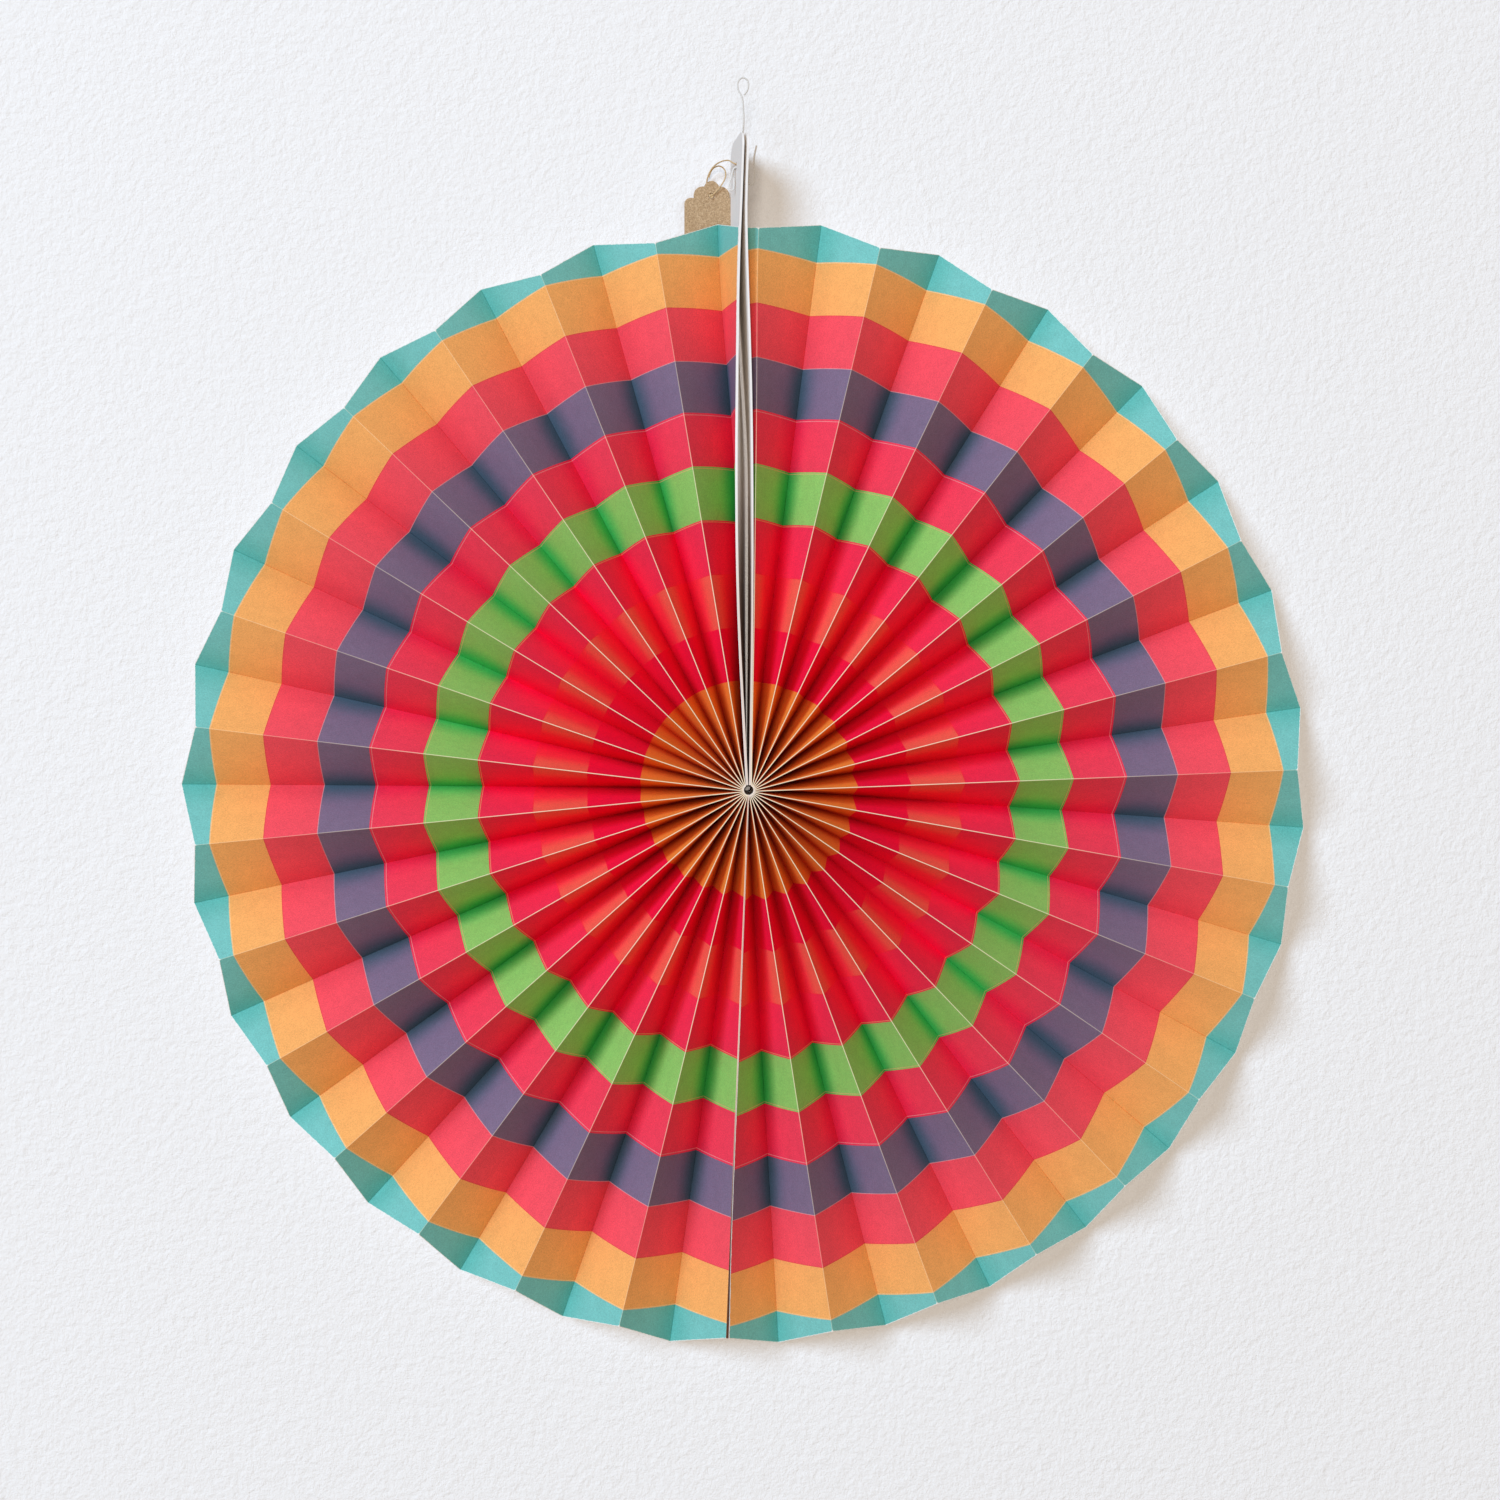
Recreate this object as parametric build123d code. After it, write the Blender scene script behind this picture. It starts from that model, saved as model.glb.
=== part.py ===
"""Paper fan rosette, as it hangs opened on a wall.

Two printed paper sheets are pleated, glued to each other and bent round into a full circle. Their
ends are glued to two card boards, which are tied together at the top and hang from a cord.

Millimetres. +Z is up, -Y faces the viewer, and the origin is the middle of the hub hole. Angles run
clockwise from straight up, as the viewer sees them. A ridge is a fold towards the viewer, and a
valley is a fold towards the wall.
"""

import os
from math import cos, exp, pi, radians, sin, sqrt, tan

from build123d import *

# Paper and pleats
PAPER = 0.2
PANEL_WIDTH = 38.0
RIDGE_REACH = 275.8
RIM_POINT = 10.2
VALLEY_REACH = RIDGE_REACH + RIM_POINT
FOLDS_PER_SHEET = 30
LAYER_CLEARANCE = 0.015
GLUE_GAP = 0.03
STATIONS = 13

# The sheets are cut a little aslant: how much further than the mean their first and last folds reach
RIGHT_SLANT = (1.3, -0.7)
LEFT_SLANT = (0.6, -1.2)

# How the pleats spread: the first and last fold of each sheet in degrees, which meet at the seam, and
# how far the folds between them lie from an even spread
SEAM_ANGLE = 182.3
RIGHT_SPAN = (1.15, SEAM_ANGLE)
RIGHT_BULGE = (9.3, -7.0)
LEFT_SPAN = (SEAM_ANGLE, 356.75)
LEFT_BULGE = (-8.1, -4.8)

# Bottom seam: a glue flap on the left sheet lies behind the last panel of the right sheet
FLAP_WIDTH = 11.0
SEAM_STEP = 0.3
SEAM_OPENING = 1.2
SEAM_OPENING_START = 0.78

# End boards, which stand above the rim with their holes below their tops
BOARD = 1.0
BOARD_DEPTH = 38.0
BOARD_RISE = 39.5
BOARD_TOP = VALLEY_REACH + BOARD_RISE
BOARD_CORNER = 9.0
BOARD_HOLE_RADIUS = 2.0
BOARD_HOLE_DROP = 14.2
BOARD_HOLE_HEIGHT = BOARD_TOP - BOARD_HOLE_DROP
BOARD_STATIONS = 25
HUB_BOARD_GAP = 0.2
TOP_BOARD_GAP = 1.4
BOARD_GAP_RISE = 100.0
BOARD_BOW = 5.4
BOARD_BOW_LENGTH = 290.0
FRONT_LEAN = 2.1
RIM_LEAN = 1.7
RIM_LEAN_HEIGHT = 283.0
RIM_LEAN_LENGTH = 45.0
BACK_LEAN = 6.4
BACK_LEAN_START = 150.0
BACK_LEAN_LENGTH = 140.0

# End panels, where the sheets leave the boards. They and the first ridge reach a little further than
# the other ridges.
FIRST_RIDGE_POINT = 2.8
FIRST_RIDGE_REACH = RIDGE_REACH + FIRST_RIDGE_POINT
RIGHT_STRIP = 6.3
RIGHT_BEND_DEPTH = 5.4
RIGHT_END_POINT = 3.9
RIGHT_END_REACH = RIDGE_REACH + RIGHT_END_POINT
LEFT_STRIP = 7.2
LEFT_BEND_DEPTH = 7.5
LEFT_END_POINT = 1.8
LEFT_END_REACH = RIDGE_REACH + LEFT_END_POINT
END_INSET = 0.5

# Binding rings of thread, which lie inside the hub hole against the pleat ends
THREAD_DIAMETER = 0.8
THREAD_CLEARANCE = 0.15
THREAD_DEPTH = 12.0

# Swing tag, which hangs from the board holes
TAG_WIDTH = 27.6
TAG_LENGTH = 48.0
TAG_CARD = 0.5
TAG_HANG = 2.9
TAG_TOP = BOARD_HOLE_HEIGHT - TAG_HANG
TAG_X = -17.8
TAG_GAP = 0.4
TAG_CORNER = 3.2
TAG_SHOULDER = 8.6
TAG_CROWN_RADIUS = 3.9
TAG_LOBE_RADIUS = 4.6
TAG_LOBE_X = 4.5
TAG_LOBE_DROP = 7.4
TAG_HOLE_RADIUS = 1.6
TAG_HOLE_DROP = 7.6

# Cord and twine routes, as points chosen along them: x, y and the height above the board holes
CORD_DIAMETER = 0.8
TWINE_DIAMETER = 0.7
CORD_POINTS = [
    (4.4, -1.6, 10.1),
    (3.6, -1.6, 6.5),
    (3.0, -1.7, 2.5),
    (3.3, -1.8, -1.5),
    (3.2, -1.9, -5.3),
    (3.1, -1.9, -8.8),
    (1.7, -1.75, -9.7),
    (0.35, -1.5, -8.8),
    (0.55, -1.2, -4.9),
    (0.1, -0.9, -1.3),
    (-1.7, -0.7, -0.6),
    (-4.2, -0.7, -0.7),
    (-6.6, -0.7, -0.6),
    (-7.6, -1.0, -2.3),
    (-8.2, -1.5, -5.9),
    (-9.3, -1.8, -9.1),
    (-9.4, -1.9, -11.8),
    (-8.2, -1.8, -12.5),
    (-7.0, -1.5, -11.8),
    (-6.8, -0.9, -8.7),
    (-6.9, -0.1, -5.1),
    (-7.1, 0.6, -1.9),
    (-6.0, 0.8, -0.5),
    (-4.4, 0.9, 0.0),
    (-4.05, 0.6, 1.7),
    (-3.8, -1.5, 5.5),
    (-3.0, -6.4, 12.1),
    (-2.1, -11.0, 19.1),
    (-2.5, -11.6, 25.9),
    (-2.9, -11.5, 31.7),
    (-5.3, -11.4, 35.1),
    (-5.3, -11.3, 39.5),
    (-2.4, -11.3, 41.7),
    (0.3, -11.4, 39.1),
    (-0.1, -11.9, 34.7),
    (-2.0, -12.6, 32.3),
]
TWINE_POINTS = [
    (-4.6, 0.2, 1.1),
    (-7.0, 0.6, 1.5),
    (-8.9, 3.0, 3.8),
    (-11.9, 8.5, 4.9),
    (-15.1, 13.2, 4.5),
    (-17.7, 16.4, 2.8),
    (-19.5, 18.6, -0.2),
    (-20.4, 20.8, -3.4),
    (-19.9, 21.3, -6.0),
    (-18.4, 21.2, -8.9),
    (-17.8, 19.65, -10.5),
    (-16.8, 18.2, -9.9),
    (-14.2, 17.6, -7.2),
    (-11.9, 17.0, -4.3),
    (-10.4, 16.2, -1.0),
    (-11.0, 15.4, 2.0),
    (-13.3, 15.4, 3.9),
    (-16.3, 16.4, 3.6),
    (-18.4, 17.8, 1.3),
    (-19.1, 19.2, -1.2),
]


def ease(x):
    """0 below 0, 1 above 1, and a smooth step between them."""
    x = min(max(x, 0.0), 1.0)
    return x * x * (3 - 2 * x)


def hub_radius():
    """The hub hole closes until the pleat ends and the boards fill its edge.

    Between the boards stand all panels of both sheets, the two end panels and the glue flap."""
    layers = 2 * FOLDS_PER_SHEET + 2
    paper = layers * (PAPER + LAYER_CLEARANCE)
    boards = 2 * (BOARD + GLUE_GAP) + HUB_BOARD_GAP
    return (paper + boards) / (2 * pi)


HUB_RADIUS = hub_radius()
HUB_BOARD_FACE = HUB_BOARD_GAP / 2 + BOARD
HUB_SHIFT = HUB_BOARD_FACE + GLUE_GAP + PAPER
FRONT = -BOARD_DEPTH / 2
BACK = BOARD_DEPTH / 2


# Where the boards stand

def front_lean(z):
    """Sideways place of the slot between the boards, at their front edges."""
    pinch = (z - RIM_LEAN_HEIGHT) / RIM_LEAN_LENGTH
    return -FRONT_LEAN * sin(pi * z / BOARD_TOP) - RIM_LEAN * exp(-pinch * pinch / 2)


def back_lean(z):
    """Sideways place of the slot between the boards, at their back edges."""
    return -BACK_LEAN * ease((z - BACK_LEAN_START) / BACK_LEAN_LENGTH)


def slot_width(z):
    """Clear width between the boards at their back edges."""
    return HUB_BOARD_GAP + (TOP_BOARD_GAP - HUB_BOARD_GAP) * ease(z / BOARD_GAP_RISE)


def front_bow(z):
    """How much the front edges bow apart below the rim."""
    return BOARD_BOW * sin(pi * min(z, BOARD_BOW_LENGTH) / BOARD_BOW_LENGTH)


def board_ends(side, z):
    """Front and back middle of one board's section at a height: side is 1 right, -1 left."""
    half = (slot_width(z) + BOARD) / 2
    front = Vector(front_lean(z) + side * (half + front_bow(z) / 2), FRONT, z)
    back = Vector(back_lean(z) + side * half, BACK, z)
    return front, back


def board_face(side, z, y):
    """Sideways place of a board's outer face at a height and depth."""
    front, back = board_ends(side, z)
    slope = (back.X - front.X) / BOARD_DEPTH
    middle = front.X + slope * (y - FRONT)
    return middle + side * BOARD / 2 * sqrt(1 + slope * slope)


def spline(points):
    return Edge.make_spline(points)


def closed_solid(faces):
    """One solid from faces that share their edges, turned so that its faces point outwards."""
    solid = Solid(Shell(faces))
    return solid if solid.volume > 0 else Solid(Shell([-face for face in faces]))


def make_board(side):
    """A bowed strip of card with rounded top corners and a punched hole."""
    foot = HUB_RADIUS
    rows = {"front_in": [], "front_out": [], "back_out": [], "back_in": []}
    for step in range(BOARD_STATIONS):
        z = foot + (BOARD_TOP - foot) * step / (BOARD_STATIONS - 1)
        front, back = board_ends(side, z)
        across = (back - front).normalized()
        outward = Vector(across.Y, -across.X, 0) * (side * BOARD / 2)
        rows["front_in"].append(front - outward)
        rows["front_out"].append(front + outward)
        rows["back_out"].append(back + outward)
        rows["back_in"].append(back - outward)
    edges = [spline(points) for points in rows.values()]
    ring = [(edges[k], edges[(k + 1) % 4]) for k in range(4)]
    faces = [Face.make_surface_from_curves(a, b) for a, b in ring]
    for end in (0, -1):
        faces.append(Face(Wire.make_polygon([points[end] for points in rows.values()])))
    strip = closed_solid(faces)

    corners = RectangleRounded(BOARD_DEPTH * 1.001, 2 * BOARD_TOP, BOARD_CORNER)
    reach = 4 * BOARD_DEPTH
    outline = extrude(Plane.YZ * corners, amount=reach, both=True)
    punch = Plane.YZ * Pos(0, BOARD_HOLE_HEIGHT) * Circle(BOARD_HOLE_RADIUS)
    return (strip & outline) - extrude(punch, amount=reach, both=True)


# Fold lines. Each is a list of points from the hub to the rim, and the name of its kind: the points
# of a ridge lie on the back of the paper, and those of a valley on its printed side.

def spread(span, bulge, count):
    """Angles of the folds of one sheet, from an even spread and two smooth departures from it."""
    angles = []
    for k in range(count + 1):
        s = k / count
        bell = s * (1 - s)
        angles.append(span[0] + (span[1] - span[0]) * s + bulge[0] * bell + bulge[1] * bell * (1 - 2 * s))
    return angles


def pleat_depth(radius, pitch):
    """A panel keeps its width, so the pleats get shallower as their folds spread apart."""
    chord = 2 * radius * sin(radians(pitch) / 2)
    return sqrt(PANEL_WIDTH ** 2 - chord ** 2)


def stations(start, end):
    return [start + (end - start) * k / (STATIONS - 1) for k in range(STATIONS)]


def radial_fold(angle, shift, pitch, ridge, slant):
    """A fold that is straight as seen from the front: the boards or the flap push it aside by shift."""
    out = Vector(sin(radians(angle)), 0, cos(radians(angle)))
    side = Vector(cos(radians(angle)), 0, -sin(radians(angle)))
    start = sqrt(HUB_RADIUS ** 2 - shift ** 2)
    points = []
    for radius in stations(start, (RIDGE_REACH if ridge else VALLEY_REACH) + slant):
        half = pleat_depth(radius, pitch) / 2
        points.append(out * radius + side * shift + Vector(0, -half if ridge else half, 0))
    return points, "ridge" if ridge else "valley"


def local_pitch(angles, k):
    low = max(k - 1, 0)
    high = min(k + 1, len(angles) - 1)
    return (angles[high] - angles[low]) / (high - low)


def right_end_folds(pitch):
    """The glued edge, the soft bend and the first ridge of the right sheet.

    The printed side is glued to the board, and the bend lies a little behind the ridge."""
    start = sqrt(HUB_RADIUS ** 2 - HUB_SHIFT ** 2)
    glued = []
    bend = []
    for z in stations(start, RIGHT_END_REACH):
        y = BACK - END_INSET
        glued.append(Vector(board_face(1, z, y) + GLUE_GAP + PAPER, y, z))
    for z in stations(start, RIGHT_END_REACH):
        y = RIGHT_BEND_DEPTH - pleat_depth(z, pitch) / 2
        bend.append(Vector(board_face(1, z, y) + GLUE_GAP + PAPER, y, z))
    ridge = []
    for z in stations(start, FIRST_RIDGE_REACH):
        y = -pleat_depth(z, pitch) / 2
        strip = RIGHT_STRIP * (z / FIRST_RIDGE_REACH) ** 3
        ridge.append(Vector(board_face(1, z, y) + GLUE_GAP + PAPER + strip, y, z))
    return [(glued, "ridge"), (bend, "ridge"), (ridge, "ridge")]


def left_end_folds(pitch):
    """The last valley, the soft bend and the glued front edge of the left sheet.

    The back of the paper is glued to the board. Where the board turns away, the panel runs straight
    from the valley to the front edge."""
    start = sqrt(HUB_RADIUS ** 2 - HUB_SHIFT ** 2)
    edge_y = FRONT + END_INSET
    valley = []
    bend = []
    edge = []
    for near, far in zip(stations(start, LEFT_END_REACH), stations(start, VALLEY_REACH + LEFT_SLANT[1])):
        y = pleat_depth(far, pitch) / 2
        x = board_face(-1, far, y) - GLUE_GAP - PAPER - LEFT_STRIP * far / VALLEY_REACH
        valley.append(Vector(x, y, far))
        edge.append(Vector(board_face(-1, near, edge_y) - GLUE_GAP - PAPER, edge_y, near))
        share = (LEFT_BEND_DEPTH - edge_y) / (valley[-1].Y - edge_y)
        straight = edge[-1] + (valley[-1] - edge[-1]) * share
        on_board = board_face(-1, straight.Z, LEFT_BEND_DEPTH) - GLUE_GAP - PAPER
        bend.append(Vector(min(on_board, straight.X), LEFT_BEND_DEPTH, straight.Z))
    return [(valley, "valley"), (bend, "valley"), (edge, "valley")]


def directions(points):
    """Unit direction of a fold line at each of its points."""
    last = len(points) - 1
    return [(points[min(k + 1, last)] - points[max(k - 1, 0)]).normalized() for k in range(last + 1)]


def panel_normals(a, b):
    """Normals of the printed side of the panel between two fold lines, one at each station.

    Between a ridge and a valley the two lines lie on opposite sides of the paper, so the normal
    turns until they are one paper thickness apart along it."""
    offset = {("ridge", "valley"): PAPER, ("valley", "ridge"): -PAPER}.get((a[1], b[1]), 0.0)
    normals = []
    for p, q, u, v in zip(a[0], b[0], directions(a[0]), directions(b[0])):
        along = (u + v).normalized()
        across = q - p
        across = across - along * across.dot(along)
        tilt = offset / across.length
        across = across.normalized()
        normals.append(across.cross(along) * sqrt(1 - tilt * tilt) + across * tilt)
    return normals


def back_directions(valley, ridge):
    """Directions from a ridge towards the valley before it, along the back of their panel."""
    normals = panel_normals(valley, ridge)
    return [(v - n * PAPER - r).normalized() for r, v, n in zip(ridge[0], valley[0], normals)]


def sides(line, normals):
    """Printed side and back of a panel along one of its fold lines."""
    points, kind = line
    if kind == "ridge":
        return [p + n * PAPER for p, n in zip(points, normals)], points
    return points, [p - n * PAPER for p, n in zip(points, normals)]


def pleated_sheet(lines):
    """One folded sheet as a closed solid: panels between the fold lines, and a narrow flat along the
    outside of each fold, where the paper bends round."""
    faces = []
    previous = None
    for a, b in zip(lines, lines[1:]):
        normals = panel_normals(a, b)
        front_a, back_a = sides(a, normals)
        front_b, back_b = sides(b, normals)
        faces.append(Face.make_surface_from_curves(spline(front_a), spline(front_b)))
        faces.append(Face.make_surface_from_curves(spline(back_a), spline(back_b)))
        for end in (0, -1):
            top = Edge.make_line(front_a[end], front_b[end])
            bottom = Edge.make_line(back_a[end], back_b[end])
            faces.append(Face.make_surface_from_curves(top, bottom))
        if previous is None:
            faces.append(Face.make_surface_from_curves(spline(front_a), spline(back_a)))
        else:
            ridge = a[1] == "ridge"
            left, right, inner = (previous[0], front_a, back_a) if ridge else (previous[1], back_a, front_a)
            faces.append(Face.make_surface_from_curves(spline(left), spline(right)))
            for end in (0, -1):
                faces.append(Face(Wire.make_polygon([inner[end], left[end], right[end]])))
        previous = (front_b, back_b)
    faces.append(Face.make_surface_from_curves(spline(previous[0]), spline(previous[1])))
    return closed_solid(faces)


def make_right_sheet():
    """From the right board, clockwise to the seam, where its edge stops just short of the ridge."""
    angles = spread(RIGHT_SPAN, RIGHT_BULGE, FOLDS_PER_SHEET)
    lines = right_end_folds(local_pitch(angles, 0))
    for k in range(1, FOLDS_PER_SHEET + 1):
        s = k / FOLDS_PER_SHEET
        shift = HUB_SHIFT * (1 - s) - (PAPER + GLUE_GAP) / 2 * s
        slant = RIGHT_SLANT[0] * (1 - s) + RIGHT_SLANT[1] * s
        lines.append(radial_fold(angles[k], shift, local_pitch(angles, k), k % 2 == 0, slant))
    seam = lines[-1]
    valley = lines[-2]
    edge = []
    for k, (r, inward) in enumerate(zip(seam[0], back_directions(valley, seam))):
        share = (k / (STATIONS - 1) - SEAM_OPENING_START) / (1 - SEAM_OPENING_START)
        edge.append(r + inward * (SEAM_STEP + SEAM_OPENING * ease(share)))
    return lines[:-1] + [(edge, "ridge")], seam, valley


def make_left_sheet(seam, valley):
    """From the flap behind the seam, clockwise to the left board."""
    normals = panel_normals(valley, seam)
    ridge = [p - n * (PAPER + GLUE_GAP) for p, n in zip(seam[0], normals)]
    flap = [p + inward * FLAP_WIDTH for p, inward in zip(ridge, back_directions(valley, seam))]
    lines = [(flap, "ridge"), (ridge, "ridge")]
    angles = spread(LEFT_SPAN, LEFT_BULGE, FOLDS_PER_SHEET - 1)
    for k in range(1, FOLDS_PER_SHEET - 1):
        s = k / (FOLDS_PER_SHEET - 1)
        shift = (PAPER + GLUE_GAP) / 2 * (1 - s) - HUB_SHIFT * s
        slant = LEFT_SLANT[0] * (1 - s) + LEFT_SLANT[1] * s
        lines.append(radial_fold(angles[k], shift, local_pitch(angles, k), k % 2 == 0, slant))
    return lines + left_end_folds(local_pitch(angles, FOLDS_PER_SHEET - 1))


# Small pieces

def thread_ring(y):
    """A ring of thread inside the hub hole, at one depth."""
    ring_radius = HUB_RADIUS - THREAD_CLEARANCE - THREAD_DIAMETER / 2
    section = Plane.XY * Pos(ring_radius, y) * Circle(THREAD_DIAMETER / 2)
    return revolve(section, axis=Axis.Y)


def make_tag():
    """Card tag with a scalloped top: a body with rounded shoulders, two lobes and a crown."""
    body_height = TAG_LENGTH - TAG_SHOULDER
    body = Pos(0, -TAG_SHOULDER - body_height / 2) * Rectangle(TAG_WIDTH, body_height)
    shoulders = body.vertices().group_by(Axis.Y)[-1]
    outline = fillet(shoulders, TAG_CORNER)
    for x in (-TAG_LOBE_X, TAG_LOBE_X):
        outline += Pos(x, -TAG_LOBE_DROP) * Circle(TAG_LOBE_RADIUS)
    outline += Pos(0, -TAG_CROWN_RADIUS) * Circle(TAG_CROWN_RADIUS)
    outline -= Pos(0, -TAG_HOLE_DROP) * Circle(TAG_HOLE_RADIUS)
    front = Plane(origin=(TAG_X, BACK + TAG_GAP, TAG_TOP), x_dir=(1, 0, 0), z_dir=(0, -1, 0))
    return extrude(front * outline, amount=-TAG_CARD)


def cord(name, points, diameter):
    """A round cord along straight runs joined by tangent arcs, each as large as its runs allow."""
    corners = [Vector(x, y, BOARD_HOLE_HEIGHT + rise) for x, y, rise in points]
    radii = []
    for a, b, c in zip(corners, corners[1:], corners[2:]):
        turn = (b - a).get_angle(c - b)
        radii.append(0.45 * min((b - a).length, (c - b).length) / tan(radians(turn) / 2))
        in_diameters = radii[-1] / diameter
        print(f"{name}: turn {turn:5.1f} degrees, radius {radii[-1]:7.2f} = {in_diameters:6.2f} diameters")
    path = FilletPolyline(*corners, radius=radii)
    start = Plane(origin=path @ 0, z_dir=path % 0)
    tube = sweep(start * Circle(diameter / 2), path=path)
    straight_volume = pi * diameter ** 2 / 4 * path.length
    print(f"{name}: length {path.length:.1f}, volume {tube.volume:.3f}, of a straight cord {straight_volume:.3f}")
    return tube


def main():
    right_lines, seam, valley = make_right_sheet()
    left_lines = make_left_sheet(seam, valley)
    pieces = {
        "fan_sheet_right": pleated_sheet(right_lines),
        "fan_sheet_left": pleated_sheet(left_lines),
        "end_board_right": make_board(1),
        "end_board_left": make_board(-1),
        "hub_thread_front": thread_ring(-THREAD_DEPTH),
        "hub_thread_back": thread_ring(THREAD_DEPTH),
        "hanging_cord": cord("hanging_cord", CORD_POINTS, CORD_DIAMETER),
        "swing_tag": make_tag(),
        "tag_twine": cord("tag_twine", TWINE_POINTS, TWINE_DIAMETER),
    }

    os.makedirs("parts", exist_ok=True)
    for name, piece in pieces.items():
        piece.label = name
        export_step(piece, f"parts/{name}.step")
        print(f"{name}: {len(piece.solids())} solid, {piece.volume:.1f} mm3, valid {piece.is_valid}")


main()
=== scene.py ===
"""Paper fan rosette on a pale wall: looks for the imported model.

The frame is the model's: +Z up, -Y faces the viewer, origin in the middle of the hub hole. Shapes are
worked out in millimetres and built in metres. Angles run clockwise from straight up, as the viewer
sees them.
"""

import bpy
import numpy as np
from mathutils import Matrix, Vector

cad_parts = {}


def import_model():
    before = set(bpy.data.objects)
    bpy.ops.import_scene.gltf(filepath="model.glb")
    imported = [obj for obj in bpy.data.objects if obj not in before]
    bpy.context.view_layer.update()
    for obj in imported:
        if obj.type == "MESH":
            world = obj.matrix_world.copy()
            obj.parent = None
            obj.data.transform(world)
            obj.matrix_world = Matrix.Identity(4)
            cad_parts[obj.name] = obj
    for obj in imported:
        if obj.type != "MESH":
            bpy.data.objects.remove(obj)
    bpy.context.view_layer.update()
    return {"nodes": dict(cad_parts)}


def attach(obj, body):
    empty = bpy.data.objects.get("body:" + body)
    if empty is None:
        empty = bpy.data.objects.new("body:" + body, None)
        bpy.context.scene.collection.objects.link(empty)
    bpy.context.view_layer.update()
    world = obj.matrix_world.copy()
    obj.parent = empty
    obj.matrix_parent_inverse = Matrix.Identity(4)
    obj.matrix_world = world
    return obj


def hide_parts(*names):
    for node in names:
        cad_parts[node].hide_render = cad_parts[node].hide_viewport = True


MM = 0.001

# Paper and pleats: lengths in millimetres, angles in degrees. A slant is what a sheet's first and last
# fold add to their reach, a span is their angles, and a bulge is how the folds between them stand off
# an even spread.
PAPER = 0.2
PANEL_WIDTH = 38.0
RIDGE_REACH = 275.8
RIM_POINT = 10.2
VALLEY_REACH = RIDGE_REACH + RIM_POINT
RIGHT_SLANT = (1.3, -0.7)
LEFT_SLANT = (0.6, -1.2)
FOLDS_PER_SHEET = 30
GLUE_GAP = 0.03
HUB_RADIUS = 2.481
SEAM_ANGLE = 182.3
RIGHT_SPAN = (1.15, SEAM_ANGLE)
RIGHT_BULGE = (9.3, -7.0)
LEFT_SPAN = (SEAM_ANGLE, 356.75)
LEFT_BULGE = (-8.1, -4.8)

# Seam at the bottom, where the right sheet is glued over a flap of the left one. It stands open a
# little from a share of the fold on. Its own fold isn't worn: the print takes it for one that lies
# this far from a ridge.
FLAP_WIDTH = 11.0
NO_FLAP = -1.0
SEAM_STEP = 0.3
SEAM_OPENING = 1.2
SEAM_OPENING_START = 0.78
SEAM_RIDGE_GAP = 0.8

# Mesh of a sheet: points along a fold, steps across a panel, and the angle from which an edge is sharp
STATIONS = 73
PANEL_COLUMNS = 6
SHARP_ANGLE = 16.0

# Bow of the panels, but for the first and last few of a sheet: its height in millimetres, how it
# changes from one panel to the next, and the shares of the fold where it starts and over which it grows
FLAT_PANELS = (2, 3)
PANEL_BOW = 0.34
BOW_TURN = 2.1
BOW_PHASE = 0.7
BOW_START = 0.2
BOW_GROWTH = 0.6

# Maps of a sheet: the millimetres of one unit, and the distance that stands for the glue flap
MAP_LENGTH = 300.0
FLAP_MARK = -10.0
MAP_TOLERANCE = 0.01

# End boards and end panels, in millimetres: how far the boards bow and lean, and the heights where
# that starts and over which it grows
BOARD = 1.0
BOARD_DEPTH = 38.0
BOARD_RISE = 39.5
BOARD_TOP = VALLEY_REACH + BOARD_RISE
BOARD_HOLE_DROP = 14.2
BOARD_HOLE_HEIGHT = BOARD_TOP - BOARD_HOLE_DROP
HUB_BOARD_GAP = 0.2
TOP_BOARD_GAP = 1.4
BOARD_GAP_RISE = 100.0
BOARD_BOW = 5.4
BOARD_BOW_LENGTH = 290.0
FRONT_LEAN = 2.1
RIM_LEAN = 1.7
RIM_LEAN_HEIGHT = 283.0
RIM_LEAN_LENGTH = 45.0
BACK_LEAN = 6.4
BACK_LEAN_START = 150.0
BACK_LEAN_LENGTH = 140.0
HUB_SHIFT = HUB_BOARD_GAP / 2 + BOARD + GLUE_GAP + PAPER
FRONT = -BOARD_DEPTH / 2
BACK = BOARD_DEPTH / 2
FIRST_RIDGE_POINT = 2.8
FIRST_RIDGE_REACH = RIDGE_REACH + FIRST_RIDGE_POINT
RIGHT_STRIP = 6.3
RIGHT_BEND_DEPTH = 5.4
RIGHT_END_POINT = 3.9
RIGHT_END_REACH = RIDGE_REACH + RIGHT_END_POINT
LEFT_STRIP = 7.2
LEFT_BEND_DEPTH = 7.5
LEFT_BEND_RIDGE_GAP = 26.0
LEFT_END_POINT = 1.8
LEFT_END_REACH = RIDGE_REACH + LEFT_END_POINT
END_INSET = 0.5

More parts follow.
